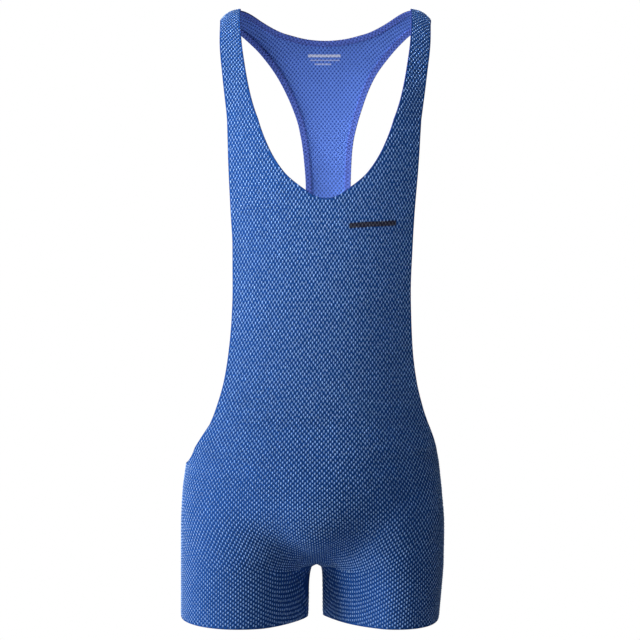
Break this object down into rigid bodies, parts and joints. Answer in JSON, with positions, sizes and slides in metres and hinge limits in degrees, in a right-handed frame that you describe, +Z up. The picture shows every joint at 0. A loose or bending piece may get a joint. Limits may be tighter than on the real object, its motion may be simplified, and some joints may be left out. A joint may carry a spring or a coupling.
{
  "type": "wrestling singlet",
  "caption": "Close-fitting one-piece wrestling suit with a deep scoop neck, racerback, low armholes and short legs, hollow and in its worn shape.",
  "frame": {"origin": "midway between the two shoulder straps, level with their undersides at the crests, where the wearer's shoulders hold the garment", "axes": "+Z up, the front faces -Y, +X is to the right of someone who looks at the front"},
  "size_m": [0.333, 0.2226, 0.7661],
  "materials": {
    "blue_knit": "raised micro-mesh knit with a soft sheen",
    "turned_blue_knit": "back of the same knit, turned in and stitched"
  },
  "bodies": {
    "root": {"front_panel": "blue_knit", "back_panel": "blue_knit", "neck_hem": "turned_blue_knit", "armhole_hem_left": "turned_blue_knit", "armhole_hem_right": "turned_blue_knit", "leg_hem_left": "turned_blue_knit", "leg_hem_right": "turned_blue_knit"}
  },
  "joints": []
}
